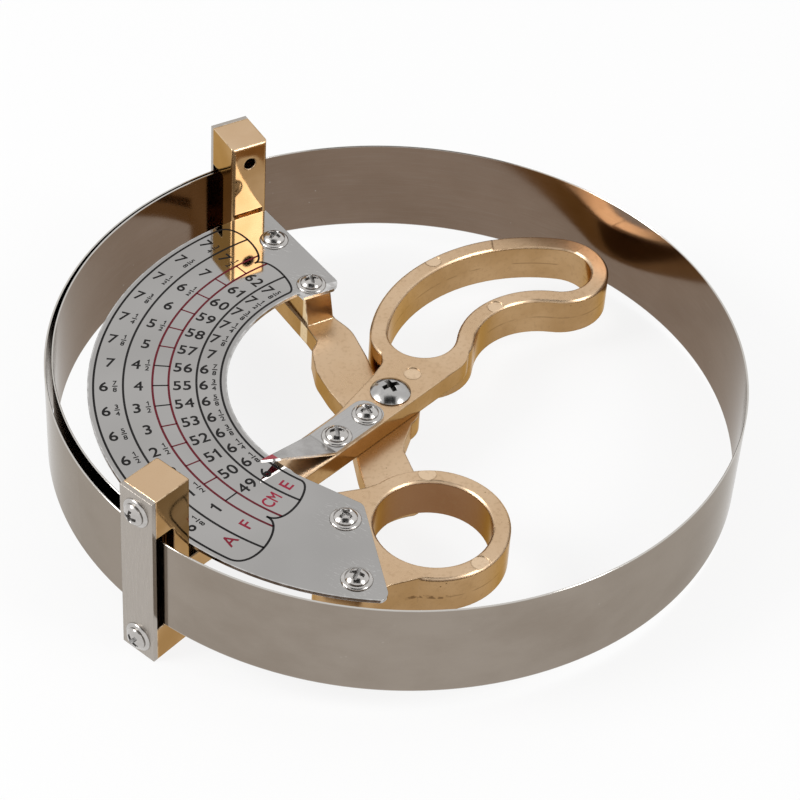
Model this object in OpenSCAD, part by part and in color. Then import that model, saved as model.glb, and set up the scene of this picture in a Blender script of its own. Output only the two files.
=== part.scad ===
// Hat sizing gauge: two crossed levers open a spring-steel band, and a pointer
// reads the band's girth on a curved scale. The pivot is the Z axis and the two
// band posts stand on z = 0. X points right and Y away from the user.

/* [Band] */
// Girth round the outside of the closed loop
band_girth = 491; // [480:1:500]
// Thickness of the steel strip
band_t = 0.4; // [0.3:0.05:0.6]
// Width of the strip
band_h = 24; // [20:0.5:26]
// Height of the strip's lower edge above the post feet
band_z = 10.5; // [9:0.5:12]
// How far the loop's centre sits to the right of the pivot
band_shift = 1.2; // [0:0.1:1.8]
// How far the inner layer draws in at the front post
inner_step = 3.4; // [2:0.1:4]
// How far the outer layer moves out at the rear post
outer_step = 1.0; // [0.8:0.1:1.4]
// Length of strip that reaches past the middle of a post
band_tail = 3.4; // [2.5:0.1:4]

/* [Posts] */
// Direction of the front post, seen from the pivot
front_angle = 231; // [229:0.1:234]
// Direction of the rear post, seen from the pivot
rear_angle = 122.4; // [120:0.1:123.5]
// Height of a post
post_h = 46.5; // [45:0.5:49]
// Width of a post along the band
post_w = 9.2; // [8:0.1:11]
// Depth of a post, towards the pivot
post_depth = 10; // [9:0.1:11]
// Radius of the post's upright corners
post_round = 0.8; // [0.4:0.1:1.5]
// Free height above and below the strip in its slot
slot_clear = 1.5; // [0.8:0.1:2]
// Radius of the slot's inner corners
slot_round = 0.9; // [0.4:0.1:1.4]

/* [Levers] */
// Height of the face where the two levers slide on each other
lap_z = 18.4; // [17:0.1:19.5]
// Thickness of a lever at the lap
arm_t = 5; // [4:0.1:6]
// Free height between the lapped faces
lap_gap = 0.1; // [0.05:0.05:0.2]
// Radius of the thumb lever's boss round the pivot
boss_r = 7; // [6.5:0.1:8]
// Radius of the hollow that the finger loop leaves round the pivot
lap_clear_r = 13.5; // [12:0.1:15]
// Depth of a round ejector mark
mark_depth = 0.2; // [0.1:0.05:0.4]
// Radius of a round ejector mark
mark_r = 2; // [1.5:0.1:2.2]

/* [Finger loop] */
// Thickness of the finger loop
loop_t = 10; // [8:0.1:11]
// Radius of the bend that the finger slot follows
bend_r = 29.4; // [28:0.1:31]
// Half the width of the finger slot
slot_half = 8; // [7:0.1:8.6]
// Width of the rim round the finger slot
rim_w = 4.2; // [3.6:0.1:5]
// Chamfer on the edges of both rims
rim_chamfer = 0.5; // [0.2:0.1:0.8]
// Depth of the ground patch where the casting's gate was cut from the rim
gate_depth = 0.3; // [0.1:0.05:0.4]

/* [Thumb ring] */
// Radius of the thumb hole
ring_r = 12.8; // [11:0.1:14]
// Width of the ring round the thumb hole
ring_w = 3.9; // [3.2:0.1:5]
// Thickness of the ring
ring_t = 10; // [8.5:0.1:11]
// Place of the ring, right of the pivot
ring_x = 10.8; // [9:0.1:12]
// Place of the ring, away from the user
ring_y = -43.3; // [-46:0.1:-42]

/* [Scale plate] */
// Thickness of the scale plate
plate_t = 0.8; // [0.6:0.1:1.4]
// Height of the plate's lower face above the finger lever
plate_lift = 2.2; // [1.8:0.1:2.4]
// Radius of the plate's inner edge
plate_inner_r = 36.8; // [35:0.1:37.5]
// Free space between the plate's rim and a passing post
plate_clear = 0.7; // [0.4:0.1:1.2]
// Radius of the plate's corners
plate_round = 2.4; // [1.5:0.1:3]

/* [Pointer] */
// Thickness of the pointer
pointer_t = 0.8; // [0.6:0.1:1]
// Width of the pointer
pointer_w = 8; // [7:0.1:9]
// Distance from the pivot to the pointer's tip
pointer_reach = 41.8; // [40:0.1:44]
// Distance from the pivot to the pointer's bend
pointer_bend_x = 24; // [23.8:0.1:25]
// Angle that the blade rises by, to pass over the plate
pointer_rise = 17.5; // [17:0.5:19]

/* [Fasteners] */
// Radius of the pivot screw's shank
pivot_r = 2.5; // [2:0.1:3]
// Radius of the pivot screw's head
pivot_head_r = 4.65; // [4:0.05:5.2]
// Height of the pivot screw's head
pivot_head_h = 2.2; // [1.8:0.1:3]
// Width of the pivot nut across its flats
nut_flats = 8; // [7.5:0.1:9]
// Thickness of the pivot nut
nut_t = 4; // [3:0.1:4.5]
// Radius of the small screws' shanks
screw_r = 1.5; // [1.2:0.05:1.6]
// Radius of the small screws' heads
head_r = 2.6; // [2.2:0.1:3]
// Height of the small screws' heads
head_h = 1.9; // [1.5:0.1:2.4]
// Length of thread in a lever
screw_depth = 7; // [5:0.5:8]
// Radius of a washer
washer_r = 3.5; // [3:0.1:3.8]
// Thickness of a washer
washer_t = 0.6; // [0.4:0.1:0.8]
// Thickness of a keeper strip
keeper_t = 1.1; // [0.8:0.1:1.5]
// Radius of a rivet's shank
rivet_r = 0.9; // [0.7:0.1:1.1]
// Radius of a rivet's head
rivet_head_r = 1.6; // [1.3:0.1:2]
// Height of a rivet's head
rivet_head_h = 0.5; // [0.3:0.1:0.7]

/* [Fits] */
// Running clearance round the pivot screw
run_clear = 0.05; // [0.02:0.01:0.1]
// Clearance round a screw in its thread
thread_clear = 0.03; // [0.02:0.01:0.05]
// Clearance round a screw in a plate or washer
hole_clear = 0.2; // [0.1:0.05:0.4]
// Clearance of the strip from the walls of its slot
strip_clear = 0.2; // [0.15:0.05:0.3]

/* [Hidden] */
$fn = 64;
far = 100;
eps = 0.01;
gold = [0.79, 0.65, 0.44];
steel = [0.68, 0.67, 0.65];
bright = [0.86, 0.86, 0.87];

// Directions and points seen from the pivot
function dir(a) = [cos(a), sin(a)];
function unit(v) = v / norm(v);
function turn(a) = a > 180 ? a - 360 : a < -180 ? a + 360 : a;
function heading(v) = atan2(v.y, v.x);
function whole_microns(x) = round(x * 1000) / 1000;
// Distance from the pivot, along angle a, to the far side of a circle
function ray_hit(centre, r, a) =
    let (along = centre * dir(a)) along + sqrt(r * r - centre * centre + along * along);

// An outline of [x, y, radius] corners as points, each corner an arc of that radius
arc_steps = 8;
function corner(a, b, c, r) =
    let (u = unit(a - b), v = unit(c - b), half = acos(u * v) / 2,
        middle = b + unit(u + v) * r / sin(half), reach = r / tan(half),
        first = heading(b + u * reach - middle),
        sweep = turn(heading(b + v * reach - middle) - first))
    [for (i = [0 : arc_steps]) middle + r * dir(first + sweep * i / arc_steps)];
function flat_point(p) = [p.x, p.y];
function rounded(corners) =
    let (count = len(corners))
    [for (i = [0 : count - 1])
        let (b = corners[i], before = corners[(i + count - 1) % count],
            after = corners[(i + 1) % count])
        each b.z == 0 ? [flat_point(b)] :
            corner(flat_point(before), flat_point(b), flat_point(after), b.z)];

// Heights
finger_top = lap_z + arm_t;
finger_low = lap_z + lap_gap;
loop_low = finger_top - loop_t;
rear_low = lap_z - arm_t;
plate_low = finger_top + plate_lift;
plate_top = plate_low + plate_t;
ring_low = plate_low - ring_t;
slot_low = band_z - slot_clear;
slot_top = band_z + band_h + slot_clear;
post_screw_heights = [slot_low / 2, (slot_top + post_h) / 2];
rivet_heights = [band_z + band_h / 4, band_z + band_h * 3 / 4];

// The strip is three arcs that meet smoothly: three quarters of the loop, the inner layer
// that draws in from the rear post to the front one, and the outer layer that leaves the
// loop a quarter turn from the rear post and moves out towards that post
overlap = front_angle - rear_angle;
loop_r = whole_microns(band_girth / (2 * PI) - band_t / 2);
inner_offset = whole_microns(inner_step / (1 - cos(overlap)));
loop_centre = [band_shift, 0];
inner_centre = loop_centre + inner_offset * dir(rear_angle);
outer_centre = loop_centre - outer_step * dir(rear_angle + 90);
tail_angle = band_tail / loop_r * 180 / PI;
inner_end_r = ray_hit(inner_centre, loop_r - inner_offset, front_angle);
outer_end_r = ray_hit(outer_centre, loop_r + outer_step, rear_angle);

// Posts, from the pivot outwards
slot_wall_r = inner_end_r - band_t / 2 - strip_clear;
post_outer_r = outer_end_r + band_t / 2 + strip_clear / 4;
post_inner_r = post_outer_r - post_depth;
post_root_r = (post_inner_r + slot_wall_r) / 2;
plate_outer_r = post_inner_r - plate_clear;
arm_end = post_w / 2 - 0.2;

// Finger lever, with X along its arm
loop_bend = [-37.1, 16.1];
bend_end = 304.7;
slot_end = loop_bend + bend_r * dir(bend_end);
finger_edge = 5.8;
finger_outline = [[post_root_r, -arm_end, 0], [30, -3.8, 0], [14, -3.7, 30], [-1.3, -6.5, 3],
    [-6.4, -7.9, 4], [slot_end.x + 8, slot_end.y - 6, 0], [slot_end.x, slot_end.y, 0],
    [slot_end.x - 7, slot_end.y + 8.6, 0], [slot_end.x, finger_edge, 9],
    [24, finger_edge - 0.3, 0], [post_root_r, arm_end, 0]];
gate_outline = let (out = slot_half + rim_w + 2, far_end = [0, -bend_r])
    [(bend_r + out) * dir(-67), (bend_r + out) * dir(-85) * 1.05, far_end + out * dir(240),
        far_end + 0.7 * slot_half * dir(246), (bend_r + slot_half / 2) * dir(-63)];
finger_marks = [[-42.4, -23.8], [-39.9, -2.2], [-8.3, -0.6]];

// Thumb lever: points of the rear arm with X along it, and of the neck as seen from above
function on_rear(x, y, r) =
    let (p = x * dir(rear_angle) + y * dir(rear_angle + 90)) [p.x, p.y, r];
rear_arm = [-4.4, 3.2];
rear_block = [rear_arm[0] + 0.4, rear_arm[1] - 0.4];
block_foot_x = 33.4;
block_head_x = 35.4;
lap_outline = [on_rear(post_root_r, -arm_end, 0), on_rear(33, rear_arm[0], 0),
    on_rear(27.5, -5.7, 12), on_rear(17.6, -4.2, 30), on_rear(11, -2.6, 0),
    on_rear(5.5, -3, 0), [5.6, -3.3, 0], [3.5, -12.8, 7], [6.4, -20.5, 5],
    [ring_x - 3, ring_y + 15, 0], [ring_x - 12.2, ring_y + 7.1, 0], [-5.9, -20, 30], on_rear(4, 9.1, 12),
    on_rear(11.3, 9.3, 15), on_rear(18.5, 8.7, 12), on_rear(25.4, 6.2, 2.5),
    on_rear(27.6, 3.4, 2), on_rear(33, rear_arm[1], 0), on_rear(post_root_r, arm_end, 0)];
web_outline = [[5, -28.6, 0], [-4.2, -34, 7], [-11, -36.2, 3], [-14.5, -41, 3],
    [-13.6, -64.6, 4], [-3, -66.6, 4], [2.6, -62.3, 6], [9.5, -59.4, 0], [ring_x, ring_y, 0]];
ring_marks = [[-1.7, 15.1], [10.3, -10.9]];

// Scale plate as seen from above
plate_ends = [[-13.7, 33.9, plate_round], [-33, 59.7, 0], [-60, far, 0], [-far, far, 0],
    [-far, -far, 0], [-8, -69.2, 0], [2.7, -67.6, plate_round], [-4.2, -39.8, plate_round],
    [-21.4, -30.7, 5], [-20, 0, 0], [-21.5, 27.4, 0], [-14.7, 31.4, 1]];
plate_tab = [[-13.7, 33.9, plate_round], [-21, 44, 0], [-27, 34, 0], [-21.5, 27.4, 0],
    [-14.7, 31.4, 1]];
rear_screw_y = -0.5;
rear_screws_x = [38.2, 56.7];
front_screws = [[-7.8, -44.7], [-4.5, -62.2]];

// Pointer, with X along the finger lever's arm
pointer_y = 1.2;
pointer_tip_y = -0.9;
pointer_screws_x = [10, 20];
pointer_screw_y = 1.8;
pointer_start = pointer_screws_x[0] - pointer_w / 2 + 0.2;

module at_front() rotate([0, 0, front_angle]) children();

module at_rear() rotate([0, 0, rear_angle]) children();

module slab(outline, low, high)
    translate([0, 0, low]) linear_extrude(high - low) polygon(rounded(outline));

// Section of a rim with chamfered edges, for sweeping round Z
module rim_section(inner, outer, low, high) {
    c = rim_chamfer;
    polygon([[inner + c, low], [outer - c, low], [outer, low + c], [outer, high - c],
        [outer - c, high], [inner + c, high], [inner, high - c], [inner, low + c]]);
}

module loop_rim(inner, angle)
    rotate_extrude(angle = angle) rim_section(inner, inner + rim_w, loop_low, finger_top);

// The rim round the finger slot: two quarter-turn limbs and a half round at each end
module finger_loop()
    translate([loop_bend.x, loop_bend.y, 0]) rotate([0, 0, bend_end]) {
        rotate([0, 0, -90]) loop_rim(bend_r + slot_half, 90);
        rotate([0, 0, -90]) loop_rim(bend_r - slot_half - rim_w, 90);
        translate([bend_r, 0, 0]) loop_rim(slot_half, 180);
        translate([0, -bend_r, 0]) rotate([0, 0, 90]) loop_rim(slot_half, 180);
    }

// A post with its strip slot open towards the keeper, and its two through threads
module post() {
    section = [[post_inner_r, -post_w / 2, post_round], [post_outer_r, -post_w / 2, 0],
        [post_outer_r, post_w / 2, 0], [post_inner_r, post_w / 2, post_round]];
    side = [[post_inner_r, 0, 0], [post_outer_r, 0, 0], [post_outer_r, post_h, 0],
        [post_inner_r, post_h, post_round]];
    slot = [[slot_wall_r, slot_low, slot_round], [far, slot_low, 0], [far, slot_top, 0],
        [slot_wall_r, slot_top, slot_round]];
    difference() {
        intersection() {
            slab(section, 0, post_h);
            translate([0, post_w / 2, 0]) rotate([90, 0, 0])
                linear_extrude(post_w) polygon(rounded(side));
        }
        translate([0, far / 2, 0]) rotate([90, 0, 0])
            linear_extrude(far) polygon(rounded(slot));
        for (z = post_screw_heights)
            translate([post_inner_r - 1, 0, z]) rotate([0, 90, 0])
                cylinder(r = screw_r + thread_clear, h = post_depth + 2);
    }
}

module marks(places, top)
    for (p = places)
        translate([p.x, p.y, top - mark_depth]) cylinder(r = mark_r, h = mark_depth + 1);

// The patch on the far bend, ground below the rim's top
module gate_patch()
    translate([loop_bend.x, loop_bend.y, finger_top - gate_depth]) rotate([0, 0, bend_end])
        linear_extrude(1) polygon(gate_outline);

module finger_lever() {
    color(gold) difference() {
        at_front() difference() {
            union() {
                finger_loop();
                difference() {
                    slab(finger_outline, finger_low, finger_top);
                    translate([slot_end.x, slot_end.y, finger_low - 1])
                        cylinder(r = slot_half + rim_w / 2, h = loop_t);
                }
                post();
            }
            translate([0, 0, loop_low - 1])
                cylinder(r = lap_clear_r, h = finger_low - loop_low + 1);
            marks(finger_marks, finger_top);
            gate_patch();
            for (x = pointer_screws_x)
                translate([x, pointer_screw_y, finger_low - 1])
                    cylinder(r = screw_r + thread_clear, h = arm_t + 2);
            translate([front_rivet_seat, 0, 0]) rivet_bores();
        }
        translate([0, 0, finger_low - 1]) cylinder(r = pivot_r + run_clear, h = arm_t + 2);
    }
}

// Block on the rear arm that lifts the plate, with a sloping inner face
module plate_block() {
    slope = (block_head_x - block_foot_x) / (plate_low - lap_z);
    translate([0, rear_block[1], 0]) rotate([90, 0, 0])
        linear_extrude(rear_block[1] - rear_block[0])
            polygon([[block_foot_x - slope, lap_z - 1], [block_head_x, plate_low],
                [post_root_r, plate_low], [post_root_r, lap_z - 1]]);
}

module plate_threads() {
    depth = screw_depth + 1;
    at_rear() for (x = rear_screws_x)
        translate([x, rear_screw_y, plate_low - depth])
            cylinder(r = screw_r + thread_clear, h = depth + 1);
    for (p = front_screws)
        translate([p.x, p.y, plate_low - depth])
            cylinder(r = screw_r + thread_clear, h = depth + 1);
}

module thumb_lever() {
    color(gold) difference() {
        union() {
            at_rear() {
                plate_block();
                post();
            }
            difference() {
                union() {
                    translate([0, 0, rear_low]) linear_extrude(arm_t) {
                        polygon(rounded(lap_outline));
                        circle(r = boss_r);
                    }
                    slab(web_outline, ring_low, plate_low);
                }
                translate([ring_x, ring_y, 0]) cylinder(r = ring_r + ring_w / 2, h = far);
            }
            translate([ring_x, ring_y, 0]) rotate_extrude()
                rim_section(ring_r, ring_r + ring_w, ring_low, plate_low);
        }
        translate([0, 0, rear_low - 1]) cylinder(r = pivot_r + run_clear, h = arm_t + 2);
        translate([ring_x, ring_y, 0]) marks(ring_marks, plate_low);
        plate_threads();
    }
}

// One arc of the strip, from its own X axis
module strip(r, angle)
    rotate_extrude(angle = angle) translate([r - band_t / 2, 0]) square([band_t, band_h]);

module band() {
    color(steel) difference() {
        translate([loop_centre.x, loop_centre.y, band_z]) rotate([0, 0, rear_angle]) {
            rotate([0, 0, 90]) strip(loop_r, 270);
            translate([inner_offset, 0, 0]) strip(loop_r - inner_offset, overlap + tail_angle);
            translate([0, -outer_step, 0]) rotate([0, 0, 90]) mirror([0, 1, 0])
                strip(loop_r + outer_step, 90 + tail_angle);
        }
        at_front() translate([front_rivet_seat, 0, 0]) rivet_bores();
        at_rear() translate([rear_rivet_seat, 0, 0]) rivet_bores();
    }
}

// Rivets lie along X: the front pair's heads hold the inner end of the strip against the
// slot's wall, and the rear pair's heads hold its outer end against the keeper
front_rivet_seat = inner_end_r + band_t / 2 + 2 * thread_clear;
rear_rivet_seat = post_outer_r + keeper_t;
rivet_grip = 3;

module rivet_bores()
    for (z = rivet_heights)
        translate([-rivet_grip - thread_clear, 0, z]) rotate([0, 90, 0])
            cylinder(r = rivet_r + thread_clear, h = rivet_grip + thread_clear + rivet_head_h / 2);

module rivets(seat, grip)
    for (z = rivet_heights)
        translate([seat, 0, z]) rotate([0, 90, 0]) {
            translate([0, 0, -grip]) cylinder(r = rivet_r, h = grip);
            dome(rivet_head_r, rivet_head_h);
        }

module front_band_rivets() {
    color(bright) at_front() rivets(front_rivet_seat, rivet_grip);
}

module rear_band_rivets() {
    color(bright) at_rear() rivets(rear_rivet_seat, keeper_t + band_t);
}

// A low round head: a short wall under a spherical cap
module dome(r, h) {
    wall = h * 0.3;
    cap = h - wall;
    ball = (r * r + cap * cap) / (2 * cap);
    intersection() {
        cylinder(r = r, h = h);
        translate([0, 0, h - ball]) sphere(r = ball);
    }
}

module ring_washer(outer, inner, t)
    difference() {
        cylinder(r = outer, h = t);
        translate([0, 0, -1]) cylinder(r = inner, h = t + 2);
    }

// A small screw with its head's underside at z = 0
module screw(length) {
    dome(head_r, head_h);
    translate([0, 0, -length]) cylinder(r = screw_r, h = length);
}

module plate_shape() {
    difference() {
        intersection() {
            circle(r = plate_outer_r);
            polygon(rounded(plate_ends));
        }
        circle(r = plate_inner_r);
    }
    intersection() {
        circle(r = plate_inner_r + 2);
        polygon(rounded(plate_tab));
    }
}

module each_plate_screw(height) {
    at_rear() for (x = rear_screws_x) translate([x, rear_screw_y, height]) children();
    for (p = front_screws) translate([p.x, p.y, height]) children();
}

module scale_plate() {
    color(steel) difference() {
        translate([0, 0, plate_low]) linear_extrude(plate_t) plate_shape();
        each_plate_screw(plate_low - 1) cylinder(r = screw_r + hole_clear, h = plate_t + 2);
    }
}

module scale_washers() {
    color(bright) each_plate_screw(plate_top)
        ring_washer(washer_r, screw_r + hole_clear, washer_t);
}

module scale_screws() {
    color(bright) each_plate_screw(plate_top + washer_t)
        screw(washer_t + plate_t + screw_depth);
}

module each_pointer_screw(height)
    at_front() for (x = pointer_screws_x)
        translate([x, pointer_screw_y, height]) children();

// Flat foot with a rounded end, and a blade bent up from its far edge: the plan outline
// where it crosses the bent side view
module pointer() {
    low = pointer_y - pointer_w / 2;
    high = pointer_y + pointer_w / 2;
    end = pointer_w / 2.6;
    rise = (pointer_reach - pointer_bend_x) * tan(pointer_rise);
    plan = [[pointer_start, low, end], [pointer_bend_x, low, 0],
        [pointer_reach, pointer_tip_y, 0], [pointer_bend_x, high, 0], [pointer_start, high, end]];
    side = [[0, 0], [pointer_bend_x, 0], [pointer_reach, rise],
        [pointer_reach, rise + pointer_t / cos(pointer_rise)],
        [pointer_bend_x - pointer_t * tan(pointer_rise / 2), pointer_t], [0, pointer_t]];
    color(steel) difference() {
        at_front() intersection() {
            slab(plan, finger_top - 1, finger_top + far);
            translate([0, pointer_w, finger_top]) rotate([90, 0, 0])
                linear_extrude(2 * pointer_w) polygon(side);
        }
        each_pointer_screw(finger_top - 1) cylinder(r = screw_r + hole_clear, h = pointer_t + 2);
    }
}

module pointer_washers() {
    color(bright) each_pointer_screw(finger_top + pointer_t)
        ring_washer(washer_r, screw_r + hole_clear, washer_t);
}

module pointer_screws() {
    color(bright) each_pointer_screw(finger_top + pointer_t + washer_t)
        screw(washer_t + pointer_t + arm_t - lap_gap);
}

module pivot_screw() {
    reach = finger_top - rear_low + washer_t + nut_t + 1;
    color(bright) translate([0, 0, finger_top + run_clear]) {
        dome(pivot_head_r, pivot_head_h);
        translate([0, 0, -reach]) cylinder(r = pivot_r, h = reach);
    }
}

module pivot_washer() {
    color(bright) translate([0, 0, rear_low - washer_t])
        ring_washer(nut_flats / 2 + 1, pivot_r + hole_clear, washer_t);
}

module pivot_nut() {
    low = rear_low - washer_t - nut_t;
    color(bright) translate([0, 0, low]) difference() {
        intersection() {
            cylinder(r = nut_flats / sqrt(3), h = nut_t, $fn = 6);
            cylinder(r1 = nut_flats / 2, r2 = nut_flats / 2 + 2 * nut_t, h = nut_t);
        }
        translate([0, 0, -1]) cylinder(r = pivot_r + thread_clear, h = nut_t + 2);
    }
}

module each_post_screw(r)
    for (z = post_screw_heights) translate([r, 0, z]) rotate([0, 90, 0]) children();

// Strip that closes a post's slot
module keeper() {
    difference() {
        translate([post_outer_r, -post_w / 2, 0]) cube([keeper_t, post_w, post_h]);
        each_post_screw(post_outer_r - 1) cylinder(r = screw_r + hole_clear, h = keeper_t + 2);
    }
}

module keeper_washers()
    each_post_screw(post_outer_r + keeper_t)
        ring_washer(washer_r, screw_r + hole_clear, washer_t);

module keeper_screws()
    each_post_screw(post_outer_r + keeper_t + washer_t)
        screw(washer_t + keeper_t + post_depth - 1);

module front_keeper() {
    color(steel) at_front() keeper();
}

module front_keeper_washers() {
    color(bright) at_front() keeper_washers();
}

module front_keeper_screws() {
    color(bright) at_front() keeper_screws();
}

module rear_keeper() {
    color(steel) at_rear() difference() {
        keeper();
        translate([rear_rivet_seat, 0, 0]) rivet_bores();
    }
}

module rear_keeper_washers() {
    color(bright) at_rear() keeper_washers();
}

module rear_keeper_screws() {
    color(bright) at_rear() keeper_screws();
}

finger_lever();
thumb_lever();
band();
scale_plate();
pointer();
pivot_screw();
pivot_washer();
pivot_nut();
scale_screws();
scale_washers();
pointer_screws();
pointer_washers();
front_keeper();
front_keeper_screws();
front_keeper_washers();
rear_keeper();
rear_keeper_screws();
rear_keeper_washers();
front_band_rivets();
rear_band_rivets();
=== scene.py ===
"""Looks of the hat sizing gauge: gold levers, a spring-steel band, a printed scale and their screws."""

from math import asin, cos, pi, radians, sin

import bmesh
import bpy
from mathutils import Matrix, Vector


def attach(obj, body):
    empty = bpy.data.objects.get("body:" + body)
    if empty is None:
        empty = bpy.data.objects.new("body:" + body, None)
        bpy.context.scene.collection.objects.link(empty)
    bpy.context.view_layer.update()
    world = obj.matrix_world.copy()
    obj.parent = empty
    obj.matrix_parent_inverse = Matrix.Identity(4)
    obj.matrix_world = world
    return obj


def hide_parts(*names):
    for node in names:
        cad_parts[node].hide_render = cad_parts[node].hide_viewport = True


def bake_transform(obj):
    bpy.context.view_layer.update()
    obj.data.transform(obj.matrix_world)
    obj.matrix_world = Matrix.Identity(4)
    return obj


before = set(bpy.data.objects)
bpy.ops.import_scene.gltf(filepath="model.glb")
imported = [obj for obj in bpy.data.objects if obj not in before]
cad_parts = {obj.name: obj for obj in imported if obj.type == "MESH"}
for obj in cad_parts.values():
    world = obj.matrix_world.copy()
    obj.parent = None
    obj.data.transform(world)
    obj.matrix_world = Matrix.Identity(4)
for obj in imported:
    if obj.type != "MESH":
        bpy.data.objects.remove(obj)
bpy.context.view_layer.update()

MM = 0.001
PIVOT = Vector((0, 0, 0))
UP = Vector((0, 0, 1))


def direction(angle):
    """The level direction at an angle round the pivot."""
    return Vector((cos(radians(angle)), sin(radians(angle)), 0))


def along(angle, x, y, z):
    """A point given along and across an arm."""
    return direction(angle) * x + direction(angle + 90) * y + UP * z


# Sizes of the gauge in millimetres and degrees, as the solids have them.

# The arms' directions, how far from the pivot their posts stand, and how far left of it they start.
FRONT, REAR = 231.0, 122.4
POST_R, POST_START = 73.5, 32.0

# The band: a loop that steps out to the rear post at one end and in to the front post at the other.
# The outer end takes its step over OUTER_ARC degrees, both ends run TAIL degrees past their posts,
# and the front post holds the inner end at INNER_END_R.
LOOP_CENTRE, LOOP_R = Vector((1.2, 0, 0)), 77.945
INNER_STEP, OUTER_STEP = 3.4, 1.0
INNER_OFFSET = INNER_STEP / (1 - cos(radians(FRONT - REAR)))
INNER_END_R, OUTER_ARC, TAIL = 73.77, 90, 2.5
BAND_LOW, BAND_TOP, BAND_RIGHT = 10.5, 34.5, 79.3
# A hair thinner than the solid strip, whose flats between its corners the round one would pass.
BAND_THICK, BAND_CHAMFER = 0.38, 0.1

# The castings: the thumb ring with its bore and its reach, the tops of the ejector marks, the heights
# of the parting line, the flash scar on the ring's front wall, and the slanted face of the block under
# the scale with half its width.
RING, RING_R, RING_REACH = Vector((10.8, -43.3, 0)), 12.8, 20.0
FINGER_MARK, RING_MARK = 23.2, 25.4
LOOP_SEAM, RING_SEAM = 18.3, 20.2
SCAR_X, SCAR_Y = 11.0, -56.0
BLOCK_FACE, BLOCK_HALF = 34.4, 6.5

# The scale plate and the pointer.
PLATE_TOP, PLATE_INNER, PLATE_OUTER = 26.4, 36.8, 67.84
POINTER_TOP, POINTER_BEND, POINTER_RED = 24.2, 24.0, 37.4

# The fasteners: where they sit, and their own sizes.
KEEPER_FACE, KEEPER_HEIGHTS = 79.64, (4.5, 41.25)
SCALE_SCREWS = [along(REAR, 38.2, -0.5, PLATE_TOP), along(REAR, 56.7, -0.5, PLATE_TOP),
                Vector((-7.8, -44.7, PLATE_TOP)), Vector((-4.5, -62.2, PLATE_TOP))]
POINTER_SCREWS = [along(FRONT, 10, 1.8, POINTER_TOP), along(FRONT, 20, 1.8, POINTER_TOP)]
FRONT_SCREWS = [along(FRONT, KEEPER_FACE, 0, height) for height in KEEPER_HEIGHTS]
REAR_SCREWS = [along(REAR, KEEPER_FACE, 0, height) for height in KEEPER_HEIGHTS]
PIVOT_SEAT = Vector((0, 0, 23.45))
WASHER_R, WASHER_BORE, WASHER_T, WASHER_ROUND = 3.5, 1.7, 0.6, 1.0
# A screw's head and its shank, and the length, width and depth of its cross.
SMALL_SCREW = dict(radius=2.6, height=1.5, rim=0.35, shank_r=1.5, shank_l=3.6,
                   length=4.2, width=0.95, depth=1.1)
PIVOT_SCREW = dict(radius=4.65, height=2.2, rim=0.25, shank_r=2.5, shank_l=10.0,
                   length=4.5, width=1.2, depth=1.6)


# Finishes

class Value:
    """A number or colour that changes over a surface: one output of a node."""

    def __init__(self, nodes, socket):
        self.nodes = nodes
        self.socket = socket

    def maths(self, operation, first, second=0.0):
        return self.nodes.node("Math", {"operation": operation}, {0: first, 1: second})

    def __add__(self, other):
        return self.maths("ADD", self, other)

    def __sub__(self, other):
        return self.maths("SUBTRACT", self, other)

    def __rsub__(self, other):
        return self.maths("SUBTRACT", other, self)

    def __mul__(self, other):
        return self.maths("MULTIPLY", self, other)

    __radd__ = __add__
    __rmul__ = __mul__

    def size(self):
        return self.maths("ABSOLUTE", self)

    def root(self):
        return self.maths("SQRT", self)

    def larger(self, other):
        return self.maths("MAXIMUM", self, other)

    def smaller(self, other):
        return self.maths("MINIMUM", self, other)

    def rise(self, low, high, start=0.0, end=1.0):
        """Start below low, end above high, and a smooth rise between them."""
        return self.nodes.node("MapRange", {"interpolation_type": "SMOOTHSTEP"},
                               {0: self, 1: low, 2: high, 3: start, 4: end})

    def near(self, place, full, none):
        """1 up to full away from a place, falling to 0 at none away."""
        return 1.0 - (self - place).size().rise(full, none)


class Nodes:
    """A node tree, which grows one node at a time."""

    def __init__(self, tree):
        self.tree = tree

    def node(self, kind, settings=None, sockets=None, out=0):
        """Adds a node: its settings first, then the values or links of its sockets."""
        made = self.tree.nodes.new("ShaderNode" + kind)
        for key, value in (settings or {}).items():
            setattr(made, key, value)
        for key, value in (sockets or {}).items():
            self.join(made.inputs[key], value)
        return Value(self, made.outputs[out])

    def join(self, socket, value):
        """Feeds a socket from a node, or sets it to a fixed value."""
        if isinstance(value, Value):
            self.tree.links.new(value.socket, socket)
        else:
            socket.default_value = value

    def seen(self):
        """1 for what is looked at, straight or in metal or glass, and 0 for the light it gives."""
        rays = ("Is Camera Ray", "Is Glossy Ray", "Is Transmission Ray")
        straight, mirrored, through = [self.node("LightPath", out=ray) for ray in rays]
        return straight.larger(mirrored).larger(through)


def rgb(red, green, blue):
    return (red, green, blue, 1.0)


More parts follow.
